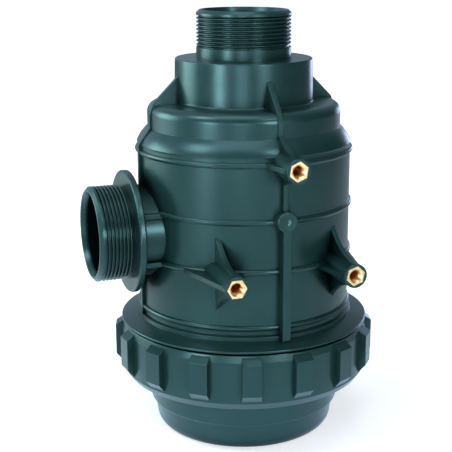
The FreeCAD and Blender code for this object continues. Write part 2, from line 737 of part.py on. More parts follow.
def make_ring_nut():
    """The ring nut: a threaded sleeve with an inner lip and grip lugs."""
    body = make_body("ring_nut")
    radius = nut_radius()
    bore = nut_bore_radius()
    waist = radius - size["nut_cone_in"]
    top = size["flange_under_z"] - size["nut_top_gap"]
    bottom = size["nut_bottom_z"]
    lip_bore = bowl_neck_radius() + size["nut_lip_play"]
    edge = size["nut_edge_round"]
    sketch = make_sketch(body, "NutProfile", "XZ_Plane")
    add_outline(sketch, [
        (bore, top),
        (waist - edge, top),
        (waist, top - edge, edge, -1),
        (radius, top - size["nut_cone_height"]),
        (radius, bottom + size["nut_foot_rise"]),
        (radius - size["nut_foot_in"], bottom),
        (lip_bore, bottom),
        (lip_bore, nut_lip_top_z()),
        (bore, nut_lip_top_z()),
    ])
    revolve(body, sketch, "NutSleeve")
    turn = FreeCAD.Placement(
        FreeCAD.Vector(0, 0, 0), FreeCAD.Rotation(FreeCAD.Vector(0, 1, 0), size["lug_first_angle"].value)
    )
    sketch = make_sketch(body, "LugShape", "XZ_Plane", offset=turn)
    bind(sketch, ".AttachmentOffset.Rotation.Angle", size["lug_first_angle"])
    inner = radius - size["lug_root_depth"]
    outer = radius + size["lug_out"]
    foot = size["lug_foot_z"]
    lug_top = top - size["lug_top_drop"]
    add_outline(sketch, [
        (inner, lug_top),
        (waist, lug_top),
        (outer, lug_top - size["lug_shoulder"]),
        (outer, foot + size["lug_heel"]),
        (radius, foot),
        (inner, foot),
    ])
    lug = extrude(body, sketch, "Lug", size["lug_width"], middle=True)
    pattern_round(body, lug, "Lugs", size["lug_count"])
    return body


# Bowl and its seal

def bowl_flange_under_z():
    """The underside of the bowl's flange, on the lip of the ring nut."""
    return nut_lip_top_z() + size["seat_gap"]


def spigot_radius():
    """The bowl's spigot inside the bore of the skirt."""
    return size["skirt_bore_radius"] - size["slide_gap"]


def spigot_bore_radius():
    """The bore of the bowl's spigot."""
    return spigot_radius() - size["bowl_spigot_wall"]


def bowl_neck_radius():
    """The outside of the bowl where it leaves the ring nut."""
    return spigot_bore_radius() - size["bowl_neck_in"]


def bowl_cup_radius():
    """The outside of the bowl's cup."""
    return bowl_neck_radius() - size["bowl_cup_in"]


def ring_outer_radius():
    """The outside of the bowl's seal ring."""
    return size["skirt_bore_radius"] - size["seal_gap"]


def gasket_seat_z():
    """The ledge inside the bowl on which the cartridge stands."""
    return size["bowl_step_z"] + size["bowl_ledge"]


def make_bowl():
    """The bowl, one moulding turned about the filter's axis."""
    body = make_body("bowl")
    under = bowl_flange_under_z()
    top = under + size["bowl_flange_thick"]
    flange = nut_bore_radius() - size["bowl_flange_play"]
    spigot = spigot_radius()
    spigot_top = size["bowl_spigot_top_z"]
    spigot_inside = spigot_bore_radius()
    groove = ring_outer_radius() - size["ring_cord"] - size["seal_gap"]
    groove_low = size["ring_groove_z"]
    groove_high = groove_low + size["ring_cord"] + size["ring_groove_play"] * 2
    neck = bowl_neck_radius()
    neck_inside = neck - size["wall"]
    cup = bowl_cup_radius()
    cup_inside = cup - size["bowl_cup_wall"]
    step = size["bowl_step_z"]
    step_round = size["bowl_step_round"]
    foot = size["bowl_foot_round"]
    floor = size["bowl_floor"]
    foot_inside = size["bowl_foot_inside"]
    ledge = gasket_seat_z()
    shoulder = under + size["bowl_shoulder"]
    end_break = size["edge_break"]
    sketch = make_sketch(body, "BowlProfile", "XZ_Plane")
    add_outline(sketch, [
        (0, 0),
        (cup - foot, 0),
        (cup, foot, foot, 1),
        (neck - step_round, step - step_round),
        (neck, step, step_round, -1),
        (neck, under),
        (flange, under),
        (flange, top),
        (spigot, top),
        (spigot, groove_low),
        (groove, groove_low),
        (groove, groove_high),
        (spigot, groove_high),
        (spigot, spigot_top - end_break),
        (spigot - end_break, spigot_top),
        (spigot_inside, spigot_top),
        (spigot_inside, shoulder),
        (neck_inside, shoulder - (spigot_inside - neck_inside)),
        (neck_inside, ledge),
        (cup_inside, ledge),
        (cup_inside, floor + foot_inside),
        (cup_inside - foot_inside, floor, foot_inside, -1),
        (0, floor),
    ])
    revolve(body, sketch, "BowlShell")
    return body


def make_seal_ring(label, outer, cord, middle_z):
    """A seal ring of round cord."""
    ring = doc.addObject("Part::Torus", label)
    ring.Label = label
    bind(ring, "Radius1", outer - cord / 2)
    bind(ring, "Radius2", cord / 2)
    bind(ring, ".Placement.Base.z", middle_z)
    return ring


def make_tube(label, inner, outer, low, high):
    """A plain ring or sleeve about the filter's axis."""
    body = make_body(label)
    sketch = make_sketch(body, label + "_profile", "XZ_Plane")
    add_outline(sketch, [(inner, low), (outer, low), (outer, high), (inner, high)])
    revolve(body, sketch, label + "_ring")
    return body


# Cartridge

def gasket_top_z():
    """The top of the gasket, where the cartridge stands."""
    return gasket_seat_z() + size["gasket_thick"]


def cartridge_foot_radius():
    """The lower cap and its gasket inside the bowl's neck."""
    return bowl_neck_radius() - size["wall"] - size["cap_play"]


def cage_radius():
    """The outside of the cartridge's cage."""
    return bowl_neck_radius() - size["wall"] - size["cage_in"]


def mesh_outside():
    """The outside of the mesh sleeve."""
    return cage_radius() + size["mesh_play"] + size["mesh_thick"]


def cage_ends():
    """The lower and upper end of the cage between the caps' plates."""
    low = gasket_top_z() + size["cap_thick"]
    high = size["cartridge_top_z"] - size["cap_thick"]
    return low, high


def make_cage():
    """The cage: a sleeve with rows of windows between upright ribs and hoops."""
    body = make_body("cartridge_cage")
    low, high = cage_ends()
    outer = cage_radius()
    inner = outer - size["cage_thick"]
    sketch = make_sketch(body, "CageProfile", "XZ_Plane")
    add_outline(sketch, [(inner, low), (outer, low), (outer, high), (inner, high)])
    revolve(body, sketch, "CageSleeve")
    rows = int(size["cage_rows"].value)
    end = size["cage_end"]
    hoop = size["cage_hoop"]
    count = size["cage_rib_count"]
    half_width = outer * (math.pi / count.value) - size["cage_rib_width"] / 2
    height = (high - low - end * 2 - hoop * (rows - 1)) / rows
    sketch = make_sketch(body, "WindowShape", "XZ_Plane")
    for row in range(rows):
        sill = low + end + (height + hoop) * row
        add_outline(sketch, [
            (-half_width, sill),
            (half_width, sill),
            (half_width, sill + height),
            (-half_width, sill + height),
        ])
    window = extrude(body, sketch, "Windows", outer + size["cut_past"], reverse=True, cut=True)
    pattern_round(body, window, "WindowRows", count)
    return body


def make_bottom_cap():
    """The lower cap: a plate with a lip round the mesh."""
    body = make_body("cartridge_bottom_cap")
    low = gasket_top_z()
    plate = low + size["cap_thick"]
    lip_inside = mesh_outside() + size["cap_play"]
    lip_outside = lip_inside + size["cap_lip_thick"]
    bore = cage_radius() - size["cap_bore_in"]
    sketch = make_sketch(body, "BottomCapProfile", "XZ_Plane")
    add_outline(sketch, [
        (bore, low),
        (cartridge_foot_radius(), low),
        (cartridge_foot_radius(), plate),
        (lip_outside, plate),
        (lip_outside, plate + size["cap_lip"]),
        (lip_inside, plate + size["cap_lip"]),
        (lip_inside, plate),
        (bore, plate),
    ])
    revolve(body, sketch, "BottomCapRing")
    return body


def neck_radius():
    """The upper cap's neck in the bore of the collar."""
    return collar_bore_radius() - size["cap_neck_gap"]


def neck_seal_z():
    """The middle of the neck's seal."""
    return size["cartridge_top_z"] + size["neck_seal_rise"]


def make_top_cap():
    """The upper cap: a plate with a lip round the mesh and a neck with a seal groove."""
    body = make_body("cartridge_top_cap")
    plate = size["cartridge_top_z"]
    under = plate - size["cap_thick"]
    neck = neck_radius()
    bore = neck - size["cap_neck_wall"]
    top = plate + size["cap_neck_height"]
    lip_inside = mesh_outside() + size["cap_play"]
    lip_outside = lip_inside + size["cap_lip_thick"]
    cord = size["neck_seal_cord"]
    groove = collar_bore_radius() - size["seal_gap"] * 2 - cord
    groove_half = cord / 2 + size["ring_groove_play"]
    sketch = make_sketch(body, "TopCapProfile", "XZ_Plane")
    add_outline(sketch, [
        (bore, under),
        (lip_inside, under),
        (lip_inside, under - size["cap_lip"]),
        (lip_outside, under - size["cap_lip"]),
        (lip_outside, plate),
        (neck, plate),
        (neck, neck_seal_z() - groove_half),
        (groove, neck_seal_z() - groove_half),
        (groove, neck_seal_z() + groove_half),
        (neck, neck_seal_z() + groove_half),
        (neck, top - size["edge_break"]),
        (neck - size["edge_break"], top),
        (bore, top),
    ])
    revolve(body, sketch, "TopCapRing")
    return body


def make_all():
    """Every sub-part of the filter."""
    parts = [make_housing()]
    for name, x, z in boss_places():
        parts.append(make_insert(name, x, z))
    parts.append(make_ring_nut())
    parts.append(make_bowl())
    ring_middle = size["ring_groove_z"] + size["ring_cord"] / 2 + size["ring_groove_play"]
    parts.append(make_seal_ring("bowl_o_ring", ring_outer_radius(), size["ring_cord"], ring_middle))
    low, high = cage_ends()
    mesh_inside = cage_radius() + size["mesh_play"]
    gasket_inside = bowl_cup_radius() - size["bowl_cup_wall"] + size["gasket_in"]
    parts.append(make_tube(
        "cartridge_bottom_seal", gasket_inside, cartridge_foot_radius(), gasket_seat_z(), gasket_top_z()
    ))
    parts.append(make_bottom_cap())
    parts.append(make_cage())
    parts.append(make_tube("cartridge_mesh", mesh_inside, mesh_outside(), low, high))
    parts.append(make_top_cap())
    neck_seal_outer = collar_bore_radius() - size["seal_gap"]
    parts.append(make_seal_ring(
        "cartridge_top_seal", neck_seal_outer, size["neck_seal_cord"], neck_seal_z()
    ))
    return parts


def check_and_export(parts):
    """Stops on a failed feature or a bad shape, then writes one file for each sub-part."""
    doc.recompute()
    for item in doc.Objects:
        if "Invalid" in item.State or "Error" in item.State:
            raise RuntimeError("%s failed: %s" % (item.Name, item.State))
    os.makedirs("parts", exist_ok=True)
    for part in parts:
        shape = part.Shape
        if shape.isNull() or not shape.isValid() or len(shape.Solids) != 1:
            raise RuntimeError("%s has a bad shape" % part.Label)
    for part in parts:
        part.Shape.exportStep("parts/%s.step" % part.Label)
        print("%-24s %9.1f mm3" % (part.Label, part.Shape.Volume))


check_and_export(make_all())
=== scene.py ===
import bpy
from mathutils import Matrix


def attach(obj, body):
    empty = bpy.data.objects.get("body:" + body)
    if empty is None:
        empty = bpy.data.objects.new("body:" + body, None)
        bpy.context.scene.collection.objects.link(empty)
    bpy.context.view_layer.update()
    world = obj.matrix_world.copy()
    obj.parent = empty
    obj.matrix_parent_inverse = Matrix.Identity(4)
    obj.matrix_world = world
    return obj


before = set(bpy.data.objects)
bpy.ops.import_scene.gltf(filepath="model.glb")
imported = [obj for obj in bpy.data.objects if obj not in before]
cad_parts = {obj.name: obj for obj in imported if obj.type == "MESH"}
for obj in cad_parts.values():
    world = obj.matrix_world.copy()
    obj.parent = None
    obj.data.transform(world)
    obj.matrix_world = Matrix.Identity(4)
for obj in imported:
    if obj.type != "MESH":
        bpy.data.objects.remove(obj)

"""Looks of a suction filter: finishes, threads, studio and camera. Metres, +Z up the outlet."""

import logging
import math
from dataclasses import dataclass, field
from enum import Enum
from typing import Mapping, Sequence

import bpy
import numpy as np

log = logging.getLogger("suction_filter")

MM = 0.001
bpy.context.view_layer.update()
WHITE = (1.0, 1.0, 1.0, 1.0)
MIX_SHARE, MIX_FIRST, MIX_SECOND, MIX_COLOUR = 0, 6, 7, 2

Value = float | Sequence[float] | bpy.types.NodeSocket
Span = tuple[float, float]


def linear(hex_text: str) -> tuple[float, float, float, float]:
    """Turns an sRGB hex colour into linear values.

    Args:
        hex_text: A colour such as "#2b4d49".

    Returns:
        Linear red, green and blue with an alpha of 1.
    """
    raw = np.array([int(hex_text[i:i + 2], 16) for i in (1, 3, 5)]) / 255.0
    made = np.where(raw <= 0.04045, raw / 12.92, ((raw + 0.055) / 1.055) ** 2.4)
    return (float(made[0]), float(made[1]), float(made[2]), 1.0)


def add_node(
    tree: bpy.types.NodeTree,
    kind: str,
    inputs: Mapping[str | int, Value] | None = None,
    **settings: object,
) -> bpy.types.Node:
    """Adds a node, sets its options, and fills or links its inputs.

    Args:
        tree: The node tree that gets the node.
        kind: The node's type name.
        inputs: Input name or index, with a plain value or an output socket to link.
        **settings: Options of the node itself.

    Returns:
        The new node.
    """
    node = tree.nodes.new(kind)
    for option, chosen in settings.items():
        setattr(node, option, chosen)
    for key, amount in (inputs or {}).items():
        if isinstance(amount, bpy.types.NodeSocket):
            tree.links.new(amount, node.inputs[key])
        else:
            node.inputs[key].default_value = amount
    return node


def combine(
    tree: bpy.types.NodeTree, operation: str, first: Value, second: Value | None = None,
) -> bpy.types.NodeSocket:
    """Adds a node that works on one or two numbers.

    Args:
        tree: The node tree that gets the node.
        operation: What it does, such as "MULTIPLY".
        first: The first number, or a socket.
        second: The second, where the operation takes two.

    Returns:
        The socket of the result.
    """
    inputs = {0: first} if second is None else {0: first, 1: second}
    return add_node(tree, "ShaderNodeMath", inputs, operation=operation).outputs[0]


def remap(
    tree: bpy.types.NodeTree, value: bpy.types.NodeSocket, source: Span, target: Span = (0.0, 1.0),
) -> bpy.types.NodeSocket:
    """Adds a node that maps one span of numbers to another and holds its ends beyond it.

    Args:
        tree: The node tree that gets the node.
        value: The socket to map.
        source: The span that comes in.
        target: The span that goes out.

    Returns:
        The socket of the result.
    """
    node = add_node(tree, "ShaderNodeMapRange", {
        "Value": value, "From Min": source[0], "From Max": source[1],
        "To Min": target[0], "To Max": target[1]})
    return node.outputs["Result"]


def blend(
    tree: bpy.types.NodeTree, share: bpy.types.NodeSocket, first: Value, second: Value,
) -> bpy.types.NodeSocket:
    """Adds a node that goes from one colour to another.

    Args:
        tree: The node tree that gets the node.
        share: The share of the second colour.
        first: The first colour, or a socket.
        second: The second.

    Returns:
        The socket of the colour.
    """
    node = add_node(tree, "ShaderNodeMix", {
        MIX_SHARE: share, MIX_FIRST: first, MIX_SECOND: second}, data_type="RGBA")
    return node.outputs[MIX_COLOUR]


def new_material(name: str) -> bpy.types.Material:
    """Makes a material with an empty node tree.

    Args:
        name: The material's name.

    Returns:
        The material.
    """
    material = bpy.data.materials.new(name)
    material.use_nodes = True
    material.node_tree.nodes.clear()
    return material


def per_metre(feature_mm: float) -> float:
    """Returns the noise scale whose features are this many millimetres across."""
    return 1.0 / (feature_mm * MM)


class Slot(Enum):
    """Material slots of the record."""

    POLYPROPYLENE = "polypropylene"
    BRASS = "brass"
    SEAL = "seal"
    CAGE = "cage_plastic"
    MESH = "mesh_steel"


@dataclass(frozen=True)
class PortBoreShade:
    """Painted shade in the cored waterway of a port, which darkens it behind its lit mouth.

    Attributes:
        mouth_mm: Middle of the mouth.
        outward: Direction out of the port.
        radius_mm: Just over the radius of the bore, and less than that of the mouth's taper.
        dim_mm: Depth at which the painted shade is full.
        deep_mm: Depth at which the port ends and the housing's room starts.
    """

    mouth_mm: tuple[float, float, float]
    outward: tuple[float, float, float]
    radius_mm: float = 25.5
    dim_mm: float = 5.0
    deep_mm: float = 39.0

    def shade(
        self, tree: bpy.types.NodeTree, place: bpy.types.NodeSocket, share: float,
    ) -> bpy.types.NodeSocket:
        """Adds the nodes that paint shade into the bore.

        Args:
            tree: Node tree of the plastic.
            place: Object coordinates.
            share: What the painted shade leaves of colour and gloss deep inside.

        Returns:
            A socket that is 1 outside the bore and falls to the share within it.
        """
        own = add_node(tree, "ShaderNodeVectorMath", {
            0: place, 1: tuple(value * MM for value in self.mouth_mm)}, operation="SUBTRACT")
        along = add_node(tree, "ShaderNodeVectorMath", {
            0: own.outputs["Vector"], 1: self.outward}, operation="DOT_PRODUCT")
        across = add_node(tree, "ShaderNodeVectorMath", {
            0: own.outputs["Vector"], 1: self.outward}, operation="CROSS_PRODUCT")
        radius = add_node(tree, "ShaderNodeVectorMath", {
            0: across.outputs["Vector"]}, operation="LENGTH")
        reach = along.outputs["Value"]
        within = combine(tree, "LESS_THAN", radius.outputs["Value"], self.radius_mm * MM)
        ahead = combine(tree, "GREATER_THAN", reach, -self.deep_mm * MM)
        inside = combine(tree, "MULTIPLY", within, ahead)
        # Painted shade: colour and gloss fall off with depth behind the mouth.
        fade = remap(tree, reach, (-self.dim_mm * MM, 0.0), (1.0 - share, 0.0))
        loss = combine(tree, "MULTIPLY", inside, fade)
        return combine(tree, "SUBTRACT", 1.0, loss)


PORTS = (
    PortBoreShade(mouth_mm=(0.0, 0.0, 271.6), outward=(0.0, 0.0, 1.0)),
    PortBoreShade(mouth_mm=(-102.0, 0.0, 136.2), outward=(-1.0, 0.0, 0.0)),
)


@dataclass(frozen=True)
class MouldedPlastic:
    """Injection-moulded thermoplastic with a satin skin.

    The grain gives soft, slightly broken highlights; sink over the ribs gives them a slow wave,
    and the flow of the melt leaves faint clouds in the colour. Painted shade darkens colour and
    gloss in deep hollows, such as the port bores and thread roots, nearly to black.

    Attributes:
        cloud_span: Noise from which the colour of the clouds sets in, and where it is full.
        smear_share: Size of the smears in the roughness, as a share of that of the clouds.
        smear_span: Noise between which the roughness rises.
        open_span: Share of open sky at which a spot takes the full painted shade of a hollow, and
        at which it keeps the colour of the open skin.
        hollow_mm: How far off a wall still shades a spot.
        hollow_shade_share: What painted shade leaves of colour and gloss in a hollow.
        bore_shade_share: What painted shade leaves of colour and gloss in the bore of a port.
    """

    name: str = "moulded polypropylene"
    body_hex: str = "#112726"
    cloud_hex: str = "#172d2c"
    cloud_mm: float = 26.0
    cloud_span: Span = (0.35, 0.7)
    smear_share: float = 0.25
    smear_span: Span = (0.3, 0.7)
    roughness_low: float = 0.285
    roughness_high: float = 0.32
    ior: float = 1.49
    gloss_level: float = 0.5
    gloss_hex: str = "#b8f4f4"
    grain_mm: float = 0.9
    grain_depth_mm: float = 0.012
    sink_mm: float = 22.0
    sink_depth_mm: float = 0.05
    edge_mm: float = 0.45
    edge_samples: int = 6
    hollow_mm: float = 22.0
    hollow_samples: int = 16
    open_span: Span = (0.2, 0.72)
    hollow_shade_share: float = 0.1
    bore_shade_share: float = 0.1

    def material(self) -> bpy.types.Material:
        """Builds the node tree.

        Returns:
            The finished material.
        """
        material = new_material(self.name)
        tree = material.node_tree
        place = add_node(tree, "ShaderNodeTexCoord").outputs["Object"]
        cloud = add_node(tree, "ShaderNodeTexNoise", {
            "Vector": place, "Scale": per_metre(self.cloud_mm), "Detail": 4.0, "Roughness": 0.55})
        tone = remap(tree, cloud.outputs["Fac"], self.cloud_span)
        colour = blend(tree, tone, linear(self.body_hex), linear(self.cloud_hex))
        # Painted shade: colour and gloss are darkened where ambient occlusion finds walls nearby.
        open_sky = add_node(tree, "ShaderNodeAmbientOcclusion", {
            "Distance": self.hollow_mm * MM}, samples=self.hollow_samples)
        painted_shade = remap(
            tree, open_sky.outputs["AO"], self.open_span, (self.hollow_shade_share, 1.0))
        # The port bores get painted shade on top.
        for port in PORTS:
            bore = port.shade(tree, place, self.bore_shade_share)
            painted_shade = combine(tree, "MULTIPLY", painted_shade, bore)
        shaded = add_node(tree, "ShaderNodeVectorMath", {
            0: colour, "Scale": painted_shade}, operation="SCALE")
        gloss = combine(tree, "MULTIPLY", painted_shade, self.gloss_level)
        smear = add_node(tree, "ShaderNodeTexNoise", {
            "Vector": place, "Scale": per_metre(self.cloud_mm * self.smear_share),
            "Detail": 3.0})
        rough = remap(
            tree, smear.outputs["Fac"], self.smear_span,
            (self.roughness_low, self.roughness_high))
        soft_edge = add_node(tree, "ShaderNodeBevel", {
            "Radius": self.edge_mm * MM}, samples=self.edge_samples)
        wave = add_node(tree, "ShaderNodeTexNoise", {
            "Vector": place, "Scale": per_metre(self.sink_mm), "Detail": 1.0})
        sink = add_node(tree, "ShaderNodeBump", {
            "Height": wave.outputs["Fac"], "Normal": soft_edge.outputs["Normal"],
            "Strength": 1.0, "Distance": self.sink_depth_mm * MM})
        # The grain of such mouldings is about 0.1 mm across; it is drawn coarser so that it shows.
        pits = add_node(tree, "ShaderNodeTexNoise", {
            "Vector": place, "Scale": per_metre(self.grain_mm), "Detail": 2.0, "Roughness": 0.6})
        grain = add_node(tree, "ShaderNodeBump", {
            "Height": pits.outputs["Fac"], "Normal": sink.outputs["Normal"],
            "Strength": 1.0, "Distance": self.grain_depth_mm * MM})
        shader = add_node(tree, "ShaderNodeBsdfPrincipled", {
            "Base Color": shaded.outputs["Vector"], "Roughness": rough,
            "Normal": grain.outputs["Normal"], "IOR": self.ior,
            "Specular IOR Level": gloss, "Specular Tint": linear(self.gloss_hex)})
        add_node(tree, "ShaderNodeOutputMaterial", {"Surface": shader.outputs["BSDF"]})
        return material


@dataclass(frozen=True)
class TurnedBrass:
    """Free-cutting brass bar, faced on a lathe: fine rings round the hole and a warm, soft shine.

    Painted shade takes the threaded hole from the pale face to a deep orange-brown within a few
    millimetres.

    Attributes:
        face_mm: Where along Y the painted shade of the hole starts, at the inserts' faces.
        wave_radians: What a wave texture of scale 1 turns through in each unit of length.
        ring_mm: Spacing of the rings, over two pi.
    """

    name: str = "turned brass"
    bright_hex: str = "#f8dba8"
    dull_hex: str = "#dfb072"
    hole_shade_hex: str = "#ac6a36"
    face_mm: float = -90.0
    hole_shade_depth_mm: float = 6.0
    roughness: float = 0.3
    stain_mm: float = 3.0
    stain_span: Span = (0.4, 0.75)
    wave_radians: float = 20.0
    ring_mm: float = 0.5
    ring_depth_mm: float = 0.01

    def material(self, centre_mm: tuple[float, float]) -> bpy.types.Material:
        """Builds the node tree for one insert.

        Args:
            centre_mm: x and z of the insert's axis.

        Returns:
            The finished material.
        """
        material = new_material(self.name)
        tree = material.node_tree
        place = add_node(tree, "ShaderNodeTexCoord").outputs["Object"]
        own = add_node(tree, "ShaderNodeMapping", {
            "Vector": place, "Location": (-centre_mm[0] * MM, 0.0, -centre_mm[1] * MM)})
        rings = add_node(tree, "ShaderNodeTexWave", {
            "Vector": own.outputs["Vector"],
            "Scale": per_metre(self.ring_mm) / self.wave_radians,
            "Distortion": 0.4, "Detail": 1.0},
            wave_type="RINGS", rings_direction="Y")
        stain = add_node(tree, "ShaderNodeTexNoise", {
            "Vector": place, "Scale": per_metre(self.stain_mm), "Detail": 4.0})
        tone = remap(tree, stain.outputs["Fac"], self.stain_span)
        face = blend(tree, tone, linear(self.bright_hex), linear(self.dull_hex))
        # Painted shade: the hole darkens to a deep orange-brown with depth behind the face.
        row = add_node(tree, "ShaderNodeSeparateXYZ", {"Vector": place})
        depth = remap(
            tree, row.outputs["Y"],
            (self.face_mm * MM, (self.face_mm + self.hole_shade_depth_mm) * MM))
        colour = blend(tree, depth, face, linear(self.hole_shade_hex))
        bump = add_node(tree, "ShaderNodeBump", {
            "Height": rings.outputs["Fac"], "Strength": 1.0, "Distance": self.ring_depth_mm * MM})
        shader = add_node(tree, "ShaderNodeBsdfPrincipled", {
            "Base Color": colour, "Metallic": 1.0, "Roughness": self.roughness,
            "Normal": bump.outputs["Normal"]})
        add_node(tree, "ShaderNodeOutputMaterial", {"Surface": shader.outputs["BSDF"]})
        return material


@dataclass(frozen=True)
class NitrileRubber:
    """Moulded nitrile rubber: dark, matt, with a dusty bloom."""

    name: str = "nitrile rubber"
    dark_hex: str = "#161718"
    bloom_hex: str = "#2b2c2e"
    roughness: float = 0.62
    ior: float = 1.52
    bloom_mm: float = 4.0
    bloom_depth_mm: float = 0.02

    def material(self) -> bpy.types.Material:
        """Builds the node tree.

        Returns:
            The finished material.
        """
        material = new_material(self.name)
        tree = material.node_tree
        place = add_node(tree, "ShaderNodeTexCoord").outputs["Object"]
        dust = add_node(tree, "ShaderNodeTexNoise", {
            "Vector": place, "Scale": per_metre(self.bloom_mm), "Detail": 5.0})
        colour = blend(tree, dust.outputs["Fac"], linear(self.dark_hex), linear(self.bloom_hex))
        bump = add_node(tree, "ShaderNodeBump", {
            "Height": dust.outputs["Fac"], "Strength": 0.5,
            "Distance": self.bloom_depth_mm * MM})
        shader = add_node(tree, "ShaderNodeBsdfPrincipled", {
            "Base Color": colour, "Roughness": self.roughness,
            "Normal": bump.outputs["Normal"], "IOR": self.ior})
        add_node(tree, "ShaderNodeOutputMaterial", {"Surface": shader.outputs["BSDF"]})
        return material


@dataclass(frozen=True)
class WovenSteel:
    """Plain-woven stainless wire: bright wires that cross over gaps painted dark as shade.

    Attributes:
        radius_mm: Radius of the sleeve, which sets how many wires stand round it.
        crown_span: Height at which a gap's painted shade ends and a wire's bright crown starts,
        from 0 to 1.
    """

    name: str = "woven stainless wire"
    wire_hex: str = "#b9bbb8"
    gap_shade_hex: str = "#3c3f3f"
    radius_mm: float = 52.9
    pitch_mm: float = 1.4
    wire_depth_mm: float = 0.15
    crown_span: Span = (0.55, 0.8)
    roughness: float = 0.35

    def material(self) -> bpy.types.Material:
        """Builds the node tree; the wires lie a pitch apart along the axis and round it.

        Returns:
            The finished material.
        """
        material = new_material(self.name)
        tree = material.node_tree
        place = add_node(tree, "ShaderNodeTexCoord").outputs["Object"]
        parts = add_node(tree, "ShaderNodeSeparateXYZ", {"Vector": place})
        # The real wires are about 0.3 mm apart; they are drawn coarser so that they show.
        level = combine(tree, "MULTIPLY", parts.outputs["Z"], math.pi / (self.pitch_mm * MM))
        round_angle = combine(tree, "ARCTAN2", parts.outputs["Y"], parts.outputs["X"])
        upright = combine(
            tree, "MULTIPLY", round_angle, round(math.pi * self.radius_mm / self.pitch_mm))
        waves = [
            combine(tree, "ABSOLUTE", combine(tree, "SINE", phase)) for phase in (level, upright)]
        wires = combine(tree, "MAXIMUM", waves[0], waves[1])
        # Painted shade: the openings between the wires are coloured dark, down to the gap colour.
        tone = remap(tree, wires, self.crown_span)
        colour = blend(tree, tone, linear(self.gap_shade_hex), linear(self.wire_hex))
        bump = add_node(tree, "ShaderNodeBump", {
            "Height": wires, "Strength": 1.0, "Distance": self.wire_depth_mm * MM})
        shader = add_node(tree, "ShaderNodeBsdfPrincipled", {
            "Base Color": colour, "Metallic": 1.0, "Roughness": self.roughness,
            "Normal": bump.outputs["Normal"]})
        add_node(tree, "ShaderNodeOutputMaterial", {"Surface": shader.outputs["BSDF"]})
        return material


HOUSING_PLASTIC = MouldedPlastic()
CAGE_PLASTIC = MouldedPlastic(
    name="moulded cartridge plastic", body_hex="#1f3f86", cloud_hex="#264a92", cloud_mm=18.0)


def finish_node(node: str, material: bpy.types.Material) -> None:
    """Gives a CAD node its material.

    Args:
        node: The CAD node's name.
        material: The material that every face of the node takes.
    """
    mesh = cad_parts[node].data
    mesh.materials.clear()
    mesh.materials.append(material)
    log.info("finished %s with %s", node, material.name)


def grid_quads(rows: int, columns: int) -> np.ndarray:
    """Joins a grid of points, open along its rows and closed round its columns, with quads.

    Args:
        rows: Number of cross-sections.
        columns: Number of points round each cross-section.

    Returns:
        Four point numbers for each quad.
    """
    row = np.arange(rows - 1)[:, None] * columns
    column = np.arange(columns)[None, :]
    following = (column + 1) % columns
    quads = np.stack(np.broadcast_arrays(
        row + column, row + following, row + columns + following, row + columns + column), axis=-1)
    return quads.reshape(-1, 4)


def end_fans(rows: int, columns: int) -> np.ndarray:
    """Closes both ends of such a grid with triangles from the first point of each end.

    Args:
        rows: Number of cross-sections.
        columns: Number of points round each cross-section.

    Returns:
        Three point numbers for each triangle.
    """
    inner = np.arange(1, columns - 1)
    start = np.stack([np.zeros_like(inner), inner + 1, inner], axis=-1)
    last = (rows - 1) * columns
    finish = np.stack([np.full_like(inner, last), last + inner, last + inner + 1], axis=-1)
    return np.concatenate([start, finish])


def closed_piece(
    name: str, points: np.ndarray, body: str, material: bpy.types.Material
) -> bpy.types.Object:
    """Makes a closed, swept piece that rides on a body.

    The signed volume, a sixth of the sum of each triangle's triple product, is made positive,
    so the faces point outwards.

    Args:
        name: The piece's name.
        points: Rows of cross-sections, in metres, as an array of rows, columns and x, y, z.
        body: The body that the piece moves with.
        material: Its material.

    Returns:
        The new object.
    """
    rows, columns, _ = points.shape
    flat = points.reshape(-1, 3)
    quads = grid_quads(rows, columns)
    fans = end_fans(rows, columns)
    triangles = np.concatenate([quads[:, [0, 1, 2]], quads[:, [0, 2, 3]], fans])
    corner = flat[triangles]
    crossed = np.cross(corner[:, 1], corner[:, 2])
    volume = np.einsum("ij,ij->i", corner[:, 0], crossed).sum() / 6.0
    if volume < 0.0:
        quads = quads[:, ::-1]
        fans = fans[:, ::-1]
    mesh = bpy.data.meshes.new(name)
    mesh.from_pydata(flat.tolist(), [], quads.tolist() + fans.tolist())
    mesh.polygons.foreach_set("use_smooth", np.ones(len(mesh.polygons), dtype=bool))
    mesh.materials.append(material)
    mesh.update()
    made = bpy.data.objects.new(name, mesh)
    bpy.context.scene.collection.objects.link(made)
    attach(made, body)
    log.info("made %s: %d faces on %s", name, len(mesh.polygons), body)
    return made


@dataclass(frozen=True)
class Axis:
    """A right-handed frame for a round feature: along its axis, then two directions across."""

    origin_mm: tuple[float, float, float]
    along: tuple[float, float, float]
    across: tuple[float, float, float]
    up: tuple[float, float, float]

    def points(self, reach: np.ndarray, radius: np.ndarray, angle: np.ndarray) -> np.ndarray:
        """Turns cylinder coordinates into points.

        Args:
            reach: Distance along the axis, in millimetres.
            radius: Distance from the axis, in millimetres.
            angle: Angle from the first direction across towards the second, in radians.

        Returns:
            The points in metres, with x, y and z last.
        """
        parts = (
            reach[..., None] * np.array(self.along)
            + (radius * np.cos(angle))[..., None] * np.array(self.across)
            + (radius * np.sin(angle))[..., None] * np.array(self.up)
        )
        return (parts + np.array(self.origin_mm)) * MM


UPWARDS = Axis((0.0, 0.0, 0.0), (0.0, 0.0, 1.0), (1.0, 0.0, 0.0), (0.0, 1.0, 0.0))


